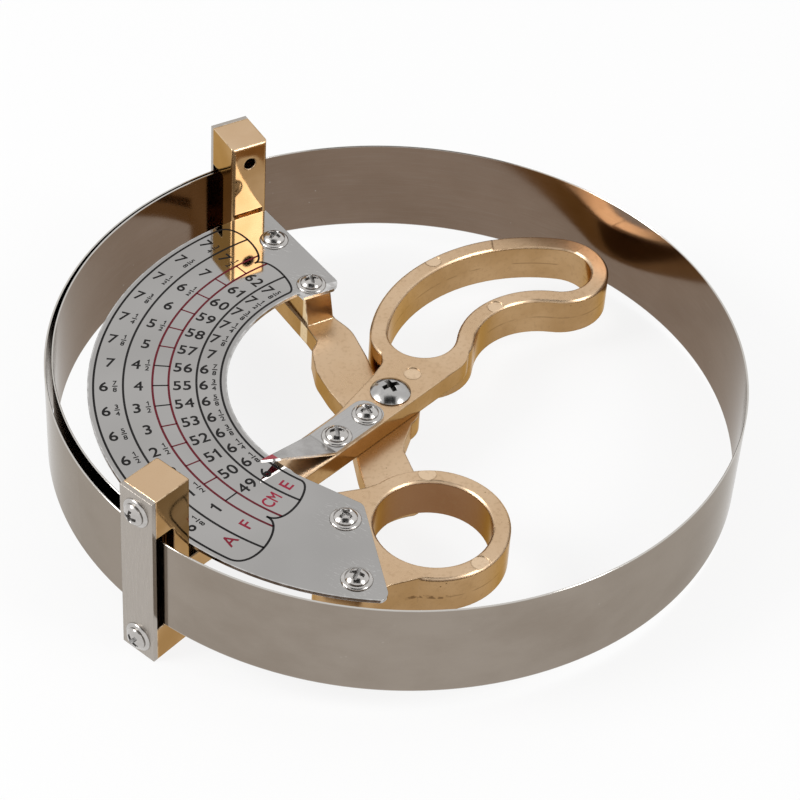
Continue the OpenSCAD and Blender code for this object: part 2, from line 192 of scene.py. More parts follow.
class Finish(Nodes):
    """One material: its shader and the nodes that vary it."""

    def __init__(self, name, colour, roughness, metallic=1.0):
        self.material = bpy.data.materials.new(name)
        self.material.use_nodes = True
        self.material.diffuse_color = rgb(*colour)
        super().__init__(self.material.node_tree)
        self.skin = self.tree.nodes["Principled BSDF"]
        self.output = self.tree.nodes["Material Output"]
        self.set("Base Color", rgb(*colour))
        self.set("Roughness", roughness)
        self.set("Metallic", metallic)
        self.place = self.node("TexCoord", out="Object")

    def set(self, socket, value):
        self.join(self.skin.inputs[socket], value)

    def axes(self):
        """The three coordinates in millimetres."""
        parts = [self.node("SeparateXYZ", None, {0: self.place}, out) for out in range(3)]
        return [part * (1 / MM) for part in parts]

    def point(self, x, y, z):
        return self.node("CombineXYZ", None, {0: x, 1: y, 2: z})

    def flag(self, name):
        """A number that was noted on each face of the mesh."""
        return self.node("Attribute", {"attribute_name": name}, out="Fac")

    def noise(self, scale, detail):
        """Cloudy values from 0 to 1, with about scale clouds to the metre."""
        return self.stretched(self.place, detail, scale=scale)

    def stretched(self, where, detail=2.0, roughness=0.5, scale=1.0):
        """Cloudy values from 0 to 1 over coordinates of their own."""
        return self.node("TexNoise", None, {"Vector": where, "Scale": scale,
                                            "Detail": detail, "Roughness": roughness})

    def dots(self, scale, full, none, cover):
        """Round dots at scattered points, which are left out where cover is 0."""
        away = self.node("TexVoronoi", None, {"Vector": self.place, "Scale": scale})
        return (1.0 - away.rise(full, none)) * cover

    def mix(self, share, below, above):
        return self.node("Mix", {"data_type": "RGBA"}, {0: share, 6: below, 7: above}, 2)

    def rounded(self, radius):
        """The surface's direction with its edges rounded over a radius in millimetres."""
        return self.node("Bevel", {"samples": 6}, {"Radius": radius * MM})

    def edges(self, rounded):
        """Rises from 0 on the flats as the rounded direction turns away at an edge."""
        plain = self.node("NewGeometry", out="Normal")
        alike = self.node("VectorMath", {"operation": "DOT_PRODUCT"}, {0: rounded, 1: plain}, "Value")
        return 1.0 - alike

    def relief(self, height, tallest, strength, rounded=None):
        """Small hills: a height of 1 stands tallest millimetres high."""
        sockets = {"Height": height, "Distance": tallest * MM, "Strength": strength}
        if rounded:
            sockets["Normal"] = rounded
        self.set("Normal", self.node("Bump", None, sockets))


def distance(x, y, place):
    """How far a point of the surface is from a place, seen from above."""
    aside, ahead = x - place.x, y - place.y
    return (aside * aside + ahead * ahead).root()


def reach(x, y, angle):
    """How far out a point of the surface is in an arm's direction."""
    return x * cos(radians(angle)) + y * sin(radians(angle))


def gold_plate():
    """Plated die casting: satin tops, walls painted darker as shade, mirror-bright posts, edges painted
    bright and a few dark pits.
    """
    gold = Finish("gold_plate", (0.60, 0.42, 0.265), 0.24)
    x, y, z = gold.axes()
    cloud = gold.noise(70.0, 3.0)
    grain = gold.noise(1100.0, 2.0)

    # Where the walls, the posts, the ring's bore, the ejector marks and the block's slanted face are.
    wall = gold.flag("steep").rise(0.2, 0.9)
    on_post = (-1.0 * x).rise(POST_START, POST_START + 3.0)
    post_wall = wall * on_post
    from_ring = distance(x, y, RING)
    bore = 1.0 - from_ring.rise(RING_R + 0.1, RING_R + 0.6)
    mark = z.near(FINGER_MARK, 0.04, 0.08).larger(z.near(RING_MARK, 0.04, 0.08))
    block = reach(x, y, REAR).near(BLOCK_FACE, 1.2, 1.8)
    block = block * reach(x, y, REAR + 90).near(0.0, BLOCK_HALF, BLOCK_HALF + 1.0)

    # The clean plating, with painted light: walls painted darker than the tops and the ring's bore
    # darker still as painted shade, a painted sheen on the ejector marks and a painted highlight on the
    # block's slanted face.
    satin, pale_satin, mark_sheen = rgb(0.57, 0.40, 0.25), rgb(0.625, 0.455, 0.30), rgb(0.80, 0.62, 0.44)
    wall_shade, pale_wall_shade, bore_shade = rgb(0.375, 0.225, 0.10), rgb(0.475, 0.305, 0.155), rgb(0.20, 0.087, 0.040)
    block_highlight, grain_dark = rgb(0.98, 0.84, 0.60), rgb(0.27, 0.16, 0.08)
    share = cloud.rise(0.35, 0.68)
    # The ejector marks are painted lighter: a painted sheen.
    top = gold.mix(mark * 0.55, gold.mix(share, satin, pale_satin), mark_sheen)
    # The ring's bore is painted darker still: painted shade.
    side = gold.mix(bore * 0.8, gold.mix(share, wall_shade, pale_wall_shade), bore_shade)
    # The steep walls take the darker tones: painted shade.
    tone = gold.mix(wall, top, side)
    # The block's slanted face is painted lighter: a painted highlight.
    tone = gold.mix(block * wall * 0.75, tone, block_highlight)
    tone = gold.mix(grain.rise(0.5, 0.72) * (1.0 - on_post) * 0.2, tone, grain_dark)

    # The parting line on the walls, faint and broken, with the rough scar on the ring.
    seam_dark = rgb(0.15, 0.08, 0.035)
    seam_height = from_ring.rise(RING_REACH, RING_REACH + 2.0, RING_SEAM, LOOP_SEAM)
    faint = z.near(seam_height, 0.05, 0.25) * gold.noise(140.0, 2.0).rise(0.46, 0.56)
    scar = x.near(SCAR_X, 4.0, 5.5) * (SCAR_Y - y).rise(-1.5, 1.5)
    scar = scar * z.near(seam_height, 0.25, 0.6) * gold.noise(750.0, 3.0).rise(0.44, 0.54)
    seam = (faint * 0.45).larger(scar * 0.85) * (wall - post_wall) * (1.0 - bore)
    tone = gold.mix(seam, tone, seam_dark)

    # Bright edges, partly worn polish and partly painted highlight, worn through in places, and pits.
    edge_polish_highlight = rgb(0.80, 0.62, 0.42)
    worn_dark, pit_dark = rgb(0.19, 0.105, 0.05), rgb(0.16, 0.09, 0.04)
    rounded = gold.rounded(0.6)
    edge = gold.edges(rounded)
    worn = edge.rise(0.005, 0.08) * gold.noise(330.0, 3.0).rise(0.54, 0.64)
    pit = gold.dots(420.0, 0.035, 0.09, gold.noise(90.0, 1.0).rise(0.52, 0.62))
    tone = gold.mix(edge.rise(0.02, 0.2) * (0.4 + 0.35 * on_post), tone, edge_polish_highlight)
    tone = gold.mix(worn * 0.65, tone, worn_dark)
    tone = gold.mix(pit * 0.75, tone, pit_dark)

    dull = 0.22 + 0.08 * cloud + 0.06 * grain + 0.3 * pit
    gold.set("Base Color", tone)
    gold.set("Specular Tint", rgb(0.80, 0.62, 0.40))
    gold.set("Roughness", dull - 0.12 * wall.larger(on_post) - 0.09 * post_wall)
    gold.relief(grain * 0.4 + cloud * 0.8 - pit * 1.5 - seam * 1.5, 0.02, 0.2, rounded)
    return gold


def band_steel():
    """Spring steel, brushed along the strip: grey outside, painted darker and browner inside as painted
    shade and painted reflection of the gold, with bright cut edges.
    """
    steel = Finish("band_steel", (0.26, 0.215, 0.175), 0.12)
    x, y, z = steel.axes()
    streaks = steel.stretched(steel.point(x * 0.11, y * 0.11, z * 9.0), 3.0, 0.6)
    patches = steel.stretched(steel.point(x * 0.03, y * 0.03, z * 0.05))
    mottle = steel.stretched(steel.point(x * 0.11, y * 0.11, z * 0.16), 3.0, 0.6)
    blotch = (patches * 0.7 + mottle * 0.3).rise(0.35, 0.65)
    speck = steel.dots(330.0, 0.03, 0.08, steel.noise(150.0, 1.0).rise(0.5, 0.6))
    middle = (BAND_LOW + BAND_TOP) / 2
    half = (BAND_TOP - BAND_LOW) / 2
    cut = 1.0 - z.near(middle, half - 0.35, half - 0.05)

    grey, pale_grey = rgb(0.272, 0.229, 0.189), rgb(0.315, 0.271, 0.229)
    inside_shade, pale_inside_shade = rgb(0.188, 0.132, 0.095), rgb(0.212, 0.153, 0.114)
    brushed, speck_pale = rgb(0.34, 0.30, 0.26), rgb(0.46, 0.43, 0.39)
    cut_bright = rgb(0.62, 0.60, 0.57)
    outer = steel.mix(blotch, grey, pale_grey)
    inner = steel.mix(blotch, inside_shade, pale_inside_shade)
    # The inward faces are painted darker and browner: painted shade and painted reflection of the gold
    # levers.
    tone = steel.mix(steel.flag("inside"), outer, inner)
    tone = steel.mix(streaks.rise(0.45, 0.8) * 0.2, tone, brushed)
    tone = steel.mix(speck * 0.45, tone, speck_pale)
    tone = steel.mix(cut * 0.8, tone, cut_bright)

    steel.set("Base Color", tone)
    steel.set("Specular Tint", rgb(0.75, 0.73, 0.70))
    steel.set("Roughness", 0.06 + 0.09 * streaks + 0.03 * patches + 0.1 * speck)
    steel.relief(streaks, 0.006, 0.3)
    return steel


def plate_steel():
    """Polished sheet with hairline scratches, rims painted bright as burrs and painted highlight, and
    scuffs round its screws.
    """
    steel = Finish("plate_steel", (0.37, 0.36, 0.35), 0.06)
    x, y, _ = steel.axes()
    cloud = steel.noise(35.0, 2.0)
    hair = steel.stretched(steel.point(x * 0.35 + y * 0.2, y * 6.0 - x * 9.0, 0.0), 2.0, 0.7)
    scratch = hair.rise(0.66, 0.72)
    out = distance(x, y, PIVOT)
    inner_rim = 1.0 - out.rise(PLATE_INNER + 0.1, PLATE_INNER + 0.5)
    outer_rim = out.rise(PLATE_OUTER - 0.45, PLATE_OUTER - 0.1)
    rim = inner_rim.larger(outer_rim) * steel.noise(500.0, 3.0).rise(0.25, 0.75)
    from_screw = distance(x, y, SCALE_SCREWS[0])
    for screw in SCALE_SCREWS[1:]:
        from_screw = from_screw.smaller(distance(x, y, screw))
    scuff = steel.stretched(steel.point(x * 0.5 - y * 0.3, x * 1.2 + y * 2.4, 0.0), 3.0, 0.7)
    scuff = scuff.rise(0.56, 0.66) * (1.0 - from_screw.rise(WASHER_R, WASHER_R + 4.5))

    dark, pale = rgb(0.345, 0.335, 0.325), rgb(0.39, 0.38, 0.37)
    scraped, burr_highlight = rgb(0.56, 0.55, 0.54), rgb(0.72, 0.71, 0.70)
    tone = steel.mix(cloud.rise(0.3, 0.7), dark, pale)
    tone = steel.mix((scratch * 0.25).larger(scuff * 0.7), tone, scraped)
    # The rims are painted bright: partly burrs, partly painted highlight.
    tone = steel.mix(rim * 0.85, tone, burr_highlight)

    steel.set("Base Color", tone)
    steel.set("Roughness", 0.04 + 0.03 * cloud + 0.08 * scratch + 0.22 * rim + 0.2 * scuff)
    steel.relief(rim * 0.8 + scratch * 0.1 + scuff * 0.5, 0.02, 0.3, steel.rounded(0.12))
    return steel


def pointer_steel():
    """Satin sheet, painted darker along and past its bend as shade, with painted highlights on its
    edges and a red painted tip.
    """
    steel = Finish("pointer_steel", (0.42, 0.41, 0.40), 0.2)
    x, y, z = steel.axes()
    out = reach(x, y, FRONT)
    streaks = steel.stretched(steel.point(out * 0.25, (x - y) * 4.0, z * 4.0), 3.0)
    flat = 1.0 - steel.flag("steep").rise(0.3, 0.6)
    red = out.rise(POINTER_RED, POINTER_RED + 0.3) * flat
    bend = out.near(POINTER_BEND, 0.1, 0.5)
    slope_shade = out.rise(POINTER_BEND, POINTER_BEND + 0.6) * steel.noise(170.0, 3.0).rise(0.3, 0.7)

    dark, pale, bend_shade = rgb(0.36, 0.35, 0.34), rgb(0.50, 0.49, 0.48), rgb(0.22, 0.21, 0.20)
    edge_highlight, painted = rgb(0.60, 0.59, 0.58), rgb(0.33, 0.012, 0.03)
    tone = steel.mix(streaks, dark, pale)
    # Along the bend and past it the sheet is painted darker: painted shade.
    tone = steel.mix(bend.larger(slope_shade) * 0.5, tone, bend_shade)
    # The sheet's steep edge faces are painted lighter: a painted highlight.
    tone = steel.mix(1.0 - flat, tone, edge_highlight)
    tone = steel.mix(red, tone, painted)

    steel.set("Base Color", tone)
    steel.set("Metallic", 1.0 - red)
    steel.set("Roughness", 0.14 + 0.16 * streaks + 0.12 * red)
    steel.relief(streaks, 0.008, 0.4, steel.rounded(0.12))
    return steel


def keeper_steel():
    """Satin strip, brushed upwards."""
    steel = Finish("keeper_steel", (0.40, 0.365, 0.325), 0.24)
    x, y, z = steel.axes()
    streaks = steel.stretched(steel.point(x * 5.0, y * 5.0, z * 0.25), 3.0)
    dark, pale = rgb(0.35, 0.315, 0.275), rgb(0.455, 0.415, 0.375)
    steel.set("Base Color", steel.mix(streaks, dark, pale))
    steel.set("Roughness", 0.17 + 0.16 * streaks)
    steel.relief(streaks, 0.006, 0.4, steel.rounded(0.2))
    return steel


def bright_steel(name, colour, polish):
    """Plated screws and washers with faint handling marks."""
    steel = Finish(name, colour, polish)
    marks = steel.noise(700.0, 3.0)
    handled = rgb(*[0.88 * part for part in colour])
    steel.set("Base Color", steel.mix(marks.rise(0.35, 0.7), handled, rgb(*colour)))
    steel.set("Roughness", polish + 0.10 * marks.rise(0.4, 0.7))
    steel.relief(marks, 0.01, 0.3, steel.rounded(0.2))
    return steel


def ink(name, colour):
    """Printed ink, a little worn."""
    paint = Finish(name, colour, 0.5, 0.0)
    wear = paint.noise(1600.0, 3.0)
    faded = rgb(*[0.03 + 0.95 * part for part in colour])
    paint.set("Base Color", paint.mix(wear.rise(0.6, 0.85), rgb(*colour), faded))
    paint.set("Roughness", 0.40 + 0.2 * wear)
    paint.set("Specular IOR Level", 0.15)
    return paint


GOLD = gold_plate()
BAND = band_steel()
PLATE = plate_steel()
POINTER = pointer_steel()
KEEPER = keeper_steel()
CHROME = bright_steel("chrome", (0.53, 0.51, 0.49), 0.13)
POLISHED = bright_steel("polished_chrome", (0.45, 0.44, 0.43), 0.15)
# The pivot screw's cross recess is painted near black: painted shade.
RECESS_SHADE = bright_steel("recess_painted_shade", (0.08, 0.075, 0.07), 0.3)
# The small screws' cross recesses are painted darker than the chrome: painted shade.
SOCKET_SHADE = bright_steel("recess_light_shade", (0.36, 0.35, 0.34), 0.25)
INKS = {"black": ink("black_ink", (0.010, 0.009, 0.009)),
        "maroon": ink("maroon_ink", (0.12, 0.008, 0.016)),
        "red": ink("red_ink", (0.30, 0.02, 0.045))}


# Making pieces

# Degrees between two faces from which their edge stays sharp, metres within which points are joined,
# and the steps of a full turn.
CAST_SHARP, SCREW_SHARP, USUAL_SHARP = 14, 30, 35
CAD_MERGE, TURNED_MERGE, LETTER_MERGE = 2e-6, 1e-7, 1e-8
TURN_STEPS = 40


def made_of(name, shape, finish):
    """An object made from a shape, which is used up, in one finish."""
    mesh = bpy.data.meshes.new(name)
    shape.to_mesh(mesh)
    shape.free()
    mesh.materials.append(finish.material)
    made = bpy.data.objects.new(name, mesh)
    bpy.context.scene.collection.objects.link(made)
    return made


def piece(name, shape, finish, body, stands_for=(), sharp=USUAL_SHARP):
    """A piece of the gauge, smooth but for its sharp edges, that rides on a body."""
    made = made_of(name, shape, finish)
    mesh = made.data
    if "custom_normal" in mesh.attributes:
        mesh.attributes.remove(mesh.attributes["custom_normal"])
    mesh.polygons.foreach_set("use_smooth", [True] * len(mesh.polygons))
    mesh.set_sharp_from_angle(angle=radians(sharp))
    if body:
        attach(made, body)
    if stands_for:
        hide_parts(*stands_for)
    return made


def pour(shape, into):
    """Adds a shape, which is used up, to another one."""
    mesh = bpy.data.meshes.new("poured")
    shape.to_mesh(mesh)
    shape.free()
    into.from_mesh(mesh)
    bpy.data.meshes.remove(mesh)


def turned(path, closed):
    """A shape turned on the upright axis from a path of radii and heights in millimetres."""
    shape = bmesh.new()
    verts = [shape.verts.new((x * MM, 0, z * MM)) for x, z in path]
    ends = verts[1:] + verts[:1] if closed else verts[1:]
    edges = [shape.edges.new(pair) for pair in zip(verts, ends)]
    bmesh.ops.spin(shape, geom=edges, cent=PIVOT, axis=UP, angle=2 * pi, steps=TURN_STEPS,
                   use_merge=True, use_normal_flip=False, use_duplicate=False)
    bmesh.ops.remove_doubles(shape, verts=shape.verts, dist=TURNED_MERGE)
    bmesh.ops.recalc_face_normals(shape, faces=shape.faces)
    return shape


def merged_copy(node):
    """The solid's own mesh with its triangles joined; each face has a note of how steep it stands."""
    shape = bmesh.new()
    shape.from_mesh(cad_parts[node].data)
    bmesh.ops.remove_doubles(shape, verts=shape.verts, dist=CAD_MERGE)
    shape.normal_update()
    steep = shape.faces.layers.float.new("steep")
    for face in shape.faces:
        face[steep] = 1.0 - abs(face.normal.z)
    return shape


for name, node, finish, body, slot in (
        ("finger_lever_cast", "finger_lever", GOLD, "finger", "gold"),
        ("thumb_lever_cast", "thumb_lever", GOLD, "thumb", "gold"),
        ("scale_sheet", "scale_plate", PLATE, "thumb", "plate_steel"),
        ("pointer_sheet", "pointer", POINTER, "finger", "pointer_steel"),
        ("front_keeper_strip", "front_keeper", KEEPER, "finger", "keeper_steel"),
        ("rear_keeper_strip", "rear_keeper", KEEPER, "thumb", "keeper_steel")):
    piece(name, merged_copy(node), finish, body, [node], CAST_SHARP)


# Band

OUTER_STEPS, LOOP_STEPS, INNER_STEPS = 60, 150, 80


def strip_end(centre, radius, angle):
    """The strip's chamfered cross-section as one face, standing at an angle round a centre."""
    shape = bmesh.new()
    outwards = direction(angle)
    half = BAND_THICK / 2
    side_in = half - BAND_CHAMFER
    low_in, top_in = BAND_LOW + BAND_CHAMFER, BAND_TOP - BAND_CHAMFER
    corners = []
    for side, height in ((-half, low_in), (-half, top_in), (-side_in, BAND_TOP), (side_in, BAND_TOP),
                         (half, top_in), (half, low_in), (side_in, BAND_LOW), (-side_in, BAND_LOW)):
        corners.append(shape.verts.new((centre + outwards * (radius + side) + UP * height) * MM))
    shape.faces.new(corners)
    return shape


def sweep(shape, faces, centre, degrees, steps):
    """Carries a cross-section round a centre; returns the face at the far end."""
    done = bmesh.ops.spin(shape, geom=faces, cent=centre * MM, axis=UP, angle=radians(degrees),
                          steps=steps, use_merge=False, use_normal_flip=False, use_duplicate=False)
    return [part for part in done["geom_last"] if isinstance(part, bmesh.types.BMFace)]


def mark_inside(shape):
    """Notes on each face of a strip whether it looks towards the middle of the loop."""
    inside = shape.faces.layers.float.new("inside")
    for face in shape.faces:
        inwards = LOOP_CENTRE * MM - face.calc_center_median()
        inwards.z = 0
        face[inside] = 1.0 if face.normal.dot(inwards.normalized()) > 0.5 else 0.0


def finished_strip(name, shape, body):
    """A swept strip as a piece that stands for the band."""
    bmesh.ops.recalc_face_normals(shape, faces=shape.faces)
    mark_inside(shape)
    return piece(name, shape, BAND, body, ["band"])


def band_pieces():
    """The loop with its outer end stays on the thumb lever; the inner end is made on no body."""
    outer_centre = LOOP_CENTRE - direction(REAR + OUTER_ARC) * OUTER_STEP
    shape = strip_end(outer_centre, LOOP_R + OUTER_STEP, REAR - TAIL)
    last = sweep(shape, shape.faces[:], outer_centre, OUTER_ARC + TAIL, OUTER_STEPS)
    sweep(shape, last, LOOP_CENTRE, 360 - OUTER_ARC, LOOP_STEPS)
    finished_strip("band_loop", shape, "thumb")

    inner_centre = LOOP_CENTRE + direction(REAR) * INNER_OFFSET
    shape = strip_end(inner_centre, LOOP_R - INNER_OFFSET, REAR)
    sweep(shape, shape.faces[:], inner_centre, FRONT - REAR + TAIL, INNER_STEPS)
    inner_end = finished_strip("band_inner_end", shape, None)
    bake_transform(inner_end)


band_pieces()


# Screws

def pan_head(radius, height, rim, shank_r, shank_l):
    """A domed head on a plain shank, standing on z = 0 with its shank below."""
    tip, under = 0.2, 0.15
    path = [(0, -shank_l), (shank_r - tip, -shank_l), (shank_r, -shank_l + tip), (shank_r, 0),
            (radius - under, 0), (radius, under), (radius, rim)]
    cap = height - rim
    ball = (radius * radius + cap * cap) / (2 * cap)
    widest = asin(radius / ball)
    steps = 12
    for i in range(1, steps + 1):
        a = widest * (1 - i / steps)
        path.append((ball * sin(a), height - ball + ball * cos(a)))
    return turned(path, closed=False)


def round_washer():
    """A washer whose top falls to its rim in a round, standing on z = 0."""
    path = [(WASHER_BORE, WASHER_T), (WASHER_BORE, 0), (WASHER_R, 0)]
    steps = 8
    for i in range(1, steps + 1):
        a = pi / 2 * i / steps
        path.append((WASHER_R - WASHER_ROUND * (1 - cos(a)), WASHER_T * sin(a)))
    return turned(path, closed=True)


def cross_cutter(top, length, width, depth):
    """Two blades that cut the cross recess, wide at the mouth and narrow at the bottom."""
    mouth, low_length, low_width, above = 1.04, 0.45, 0.7, 0.1
    blades = []
    for turn in (0, 90):
        shape = bmesh.new()
        bmesh.ops.create_cube(shape, size=1.0)
        for v in shape.verts:
            low = v.co.z < 0
            v.co.x *= length * (low_length if low else mouth) * MM
            v.co.y *= width * (low_width if low else mouth) * MM
            v.co.z = (top - depth if low else top + above) * MM
        crossed = Matrix.Rotation(radians(turn), 3, "Z")
        bmesh.ops.rotate(shape, cent=PIVOT, matrix=crossed, verts=shape.verts)
        blades.append(shape)
    return blades


def cross_screw(recess, radius, height, rim, shank_r, shank_l, length, width, depth):
    """A screw with its recess cut, standing on z = 0."""
    blank = made_of("screw_blank", pan_head(radius, height, rim, shank_r, shank_l), CHROME)
    shapes = cross_cutter(height, length, width, depth)
    blades = [made_of("screw_blade", shape, recess) for shape in shapes]
    for blade in blades:
        cut = blank.modifiers.new("recess", "BOOLEAN")
        cut.operation = "DIFFERENCE"
        cut.object = blade
        cut.solver = "EXACT"
        cut.material_mode = "TRANSFER"
    bpy.context.view_layer.update()
    screw = bpy.data.meshes.new_from_object(blank.evaluated_get(bpy.context.evaluated_depsgraph_get()))
    shape = bmesh.new()
    shape.from_mesh(screw)
    for extra in (blank, *blades):
        mesh = extra.data
        bpy.data.objects.remove(extra)
        bpy.data.meshes.remove(mesh)
    bpy.data.meshes.remove(screw)
    return shape


def copies(name, node, pattern, seats, axis, turns, body, finishes):
    """Copies of one fastener on seats in millimetres, along an axis, each with its turn in degrees."""
    shape = bmesh.new()
    tilt = UP.rotation_difference(axis).to_matrix()
    for seat, turn in zip(seats, turns):
        one = pattern.copy()
        stand = tilt @ Matrix.Rotation(radians(turn), 3, "Z")
        bmesh.ops.rotate(one, cent=PIVOT, matrix=stand, verts=one.verts)
        bmesh.ops.translate(one, vec=seat * MM, verts=one.verts)
        pour(one, shape)
    made = piece(name, shape, finishes[0], body, [node], SCREW_SHARP)
    for finish in finishes[1:]:
        made.data.materials.append(finish.material)


def fasteners():
    """The small screws on their washers and the pivot screw, with the turns of their crosses."""
    washer = round_washer()
    small = cross_screw(SOCKET_SHADE, **SMALL_SCREW)
    pivot = cross_screw(RECESS_SHADE, **PIVOT_SCREW)
    for what, body, seats, axis, turns in (
            ("scale", "thumb", SCALE_SCREWS, UP, (20, 62, 48, 70)),
            ("pointer", "finger", POINTER_SCREWS, UP, (35, 12)),
            ("front_keeper", "finger", FRONT_SCREWS, direction(FRONT), (15, 50)),
            ("rear_keeper", "thumb", REAR_SCREWS, direction(REAR), (40, 5))):
        raised = [seat + axis * WASHER_T for seat in seats]
        copies(what + "_washers_round", what + "_washers", washer, seats, axis, turns, body, [CHROME])
        copies(what + "_screws_cross", what + "_screws", small, raised, axis, turns, body,
               [CHROME, SOCKET_SHADE])
    copies("pivot_screw_cross", "pivot_screw", pivot, [PIVOT_SEAT], UP, [32], "thumb",
           [POLISHED, RECESS_SHADE])
    for pattern in (washer, small, pivot):
        pattern.free()


fasteners()
for node in ("pivot_washer", "pivot_nut", "front_band_rivets", "rear_band_rivets"):
    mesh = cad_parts[node].data
    mesh.materials.clear()
    mesh.materials.append(CHROME.material)


# Scale print: radii, heights and widths in millimetres, angles in degrees round the pivot

# The girths in centimetres that the scale starts and ends with, and the angle from one to the next.
FIRST, LAST, STEP = 49, 62, 7.35
TRACKS_OUTER, TRACKS_INNER, CUSP = 66.5, 38.2, 51.6
LADDER_OUTER, LADDER_INNER = 53.4, 49.8
LINES = (("black", TRACKS_OUTER), ("black", 59.9), ("maroon", LADDER_OUTER),
         ("maroon", LADDER_INNER), ("black", 43.6), ("black", TRACKS_INNER))
BLACK_RUNGS = (49, 54, 55, 56)
# The tracks' two ends, how far they bulge, and how square the bulges are.
LOWER, LOWER_CAP = 241.6, 4.45
UPPER, UPPER_CAP = 131.0, 3.8
CAP_POWER, CAP_STEPS, LINE_STEPS = 0.42, 28, 90
INK_THICK, LINE_WIDTH, RUNG_WIDTH, BAR_WIDTH, BAR_HALF = 0.03, 0.5, 0.36, 0.28, 0.6
# Heights of digits and letters; how far their outlines are pushed out, and a fraction's digits up and
# down; how much they are widened, the gap as a share of the height, and a digit's height in the font.
DIGIT, SMALL_DIGIT, LETTER = 3.05, 1.4, 3.1
BOLD, SMALL_BOLD, SMALL_ASIDE = 0.07, 0.04, 1.15
WIDE, LETTER_GAP, FONT_HEIGHT = 1.04, 0.13, 0.73
# A track's radii: of a whole number beside a fraction, of the fraction, and of a number by itself.
TRACK_A = (64.2, 61.7, 63.2)
TRACK_F = (57.4, 54.8, 56.5)
TRACK_CM = 46.8
TRACK_E = (42.0, 39.7, 41.2)
# The letters just inside the tracks' lower end, with their radii and how much they are widened.
LETTERS = (("A", 62.0, 1.0), ("F", 56.0, 1.0), ("CM", 46.9, 0.72), ("E", 41.2, 1.0))
LETTERS_IN = 2.4
# The digit 1 with its flag and no foot, drawn in a square of one height.
ONE = ((0.27, 0), (0.44, 0), (0.44, 1), (0.32, 1),
       (0.24, 0.86), (0.07, 0.77), (0.07, 0.64), (0.27, 0.71))

printed = {colour: bmesh.new() for colour in INKS}


def polar(radius, angle):
    return (radius * cos(radians(angle)), radius * sin(radians(angle)))


def lay(colour, shape):
    """Gives flat ink its thickness and adds it to what is printed in its colour."""
    done = bmesh.ops.extrude_face_region(shape, geom=shape.faces[:])
    raised = [part for part in done["geom"] if isinstance(part, bmesh.types.BMVert)]
    bmesh.ops.translate(shape, vec=UP * INK_THICK * MM, verts=raised)
    bmesh.ops.recalc_face_normals(shape, faces=shape.faces)
    pour(shape, printed[colour])


def ribbon_points(points):
    """Each point with the direction across the line there."""
    last = len(points) - 1
    for i, point in enumerate(points):
        back, ahead = Vector(points[max(i - 1, 0)]), Vector(points[min(i + 1, last)])
        run = (ahead - back).normalized()
        yield Vector((*point, PLATE_TOP)), Vector((run.y, -run.x, 0))


def stroke(colour, points, width):
    """An inked line along points in millimetres."""
    shape = bmesh.new()
    row = []
    for here, across in ribbon_points(points):
        row.append([shape.verts.new((here + side * across * width / 2) * MM) for side in (-1, 1)])
    for (a, b), (c, d) in zip(row, row[1:]):
        shape.faces.new((a, b, d, c))
    lay(colour, shape)


def embolden(shape, amount):
    """Moves the outline of flat letters outwards."""
    push = {}
    for edge in shape.edges:
        if len(edge.link_faces) == 1:
            a, b = edge.verts
            run = (b.co - a.co).normalized()
            away = Vector((run.y, -run.x, 0))
            if away.dot(edge.link_faces[0].calc_center_median() - a.co) > 0:
                away = -away
            for v in (a, b):
                push[v] = push.get(v, Vector()) + away
    for v, away in push.items():
        v.co += away.normalized() * amount * MM


def glyph(letter, size, bold):
    """One flat letter or digit, with its height in millimetres."""
    shape = bmesh.new()
    if letter == "1":
        shape.faces.new([shape.verts.new((x * size * MM, y * size * MM, 0)) for x, y in ONE])
        return shape
    curve = bpy.data.curves.new("letters", "FONT")
    curve.body = letter
    curve.size = size * MM / FONT_HEIGHT
    curve.resolution_u = 4
    letters = bpy.data.objects.new("letters", curve)
    mesh = bpy.data.meshes.new_from_object(letters)
    bpy.data.objects.remove(letters)
    bpy.data.curves.remove(curve)
    shape.from_mesh(mesh)
    bpy.data.meshes.remove(mesh)
    bmesh.ops.remove_doubles(shape, verts=shape.verts, dist=LETTER_MERGE)
    embolden(shape, bold)
    return shape


def write(colour, words, radius, angle, size, aside=0.0, wide=WIDE, bold=BOLD):
    """Letters centred at a radius and angle, read towards the pivot; aside moves them up or down."""
    line = []
    end = 0.0
    gap = LETTER_GAP * size * MM
    for letter in words:
        shape = glyph(letter, size, bold)
        start = min(v.co.x for v in shape.verts)
        bmesh.ops.translate(shape, vec=(end - start, 0, 0), verts=shape.verts)
        end = max(v.co.x for v in shape.verts) + gap
        line.append(shape)
    middle = Vector((end - gap, size * MM, 0)) / 2
    where = Vector((*polar(radius, angle), PLATE_TOP)) * MM
    place = (Matrix.Translation(where) @ Matrix.Rotation(radians(angle + 180), 4, "Z")
             @ Matrix.Translation((0, aside * MM, 0))
             @ Matrix.Diagonal((wide, 1, 1, 1)) @ Matrix.Translation(-middle))
    for shape in line:
        bmesh.ops.transform(shape, verts=shape.verts, matrix=place)
        lay(colour, shape)


def fraction(over, under, radius, angle):
    """A small fraction with its bar."""
    write("black", str(over), radius, angle, SMALL_DIGIT, SMALL_ASIDE, 1.0, SMALL_BOLD)
    write("black", str(under), radius, angle, SMALL_DIGIT, -SMALL_ASIDE, 1.0, SMALL_BOLD)
    stroke("black", [polar(radius + end, angle) for end in (BAR_HALF, -BAR_HALF)], BAR_WIDTH)


def mixed_number(whole, eighths, track, angle):
    """A whole number with its eighths in lowest terms."""
    beside, fraction_r, alone = track
    if not eighths:
        write("black", str(whole), alone, angle, DIGIT)
        return
    under = 8
    while eighths % 2 == 0:
        eighths, under = eighths // 2, under // 2
    write("black", str(whole), beside, angle, DIGIT)
    fraction(eighths, under, fraction_r, angle)


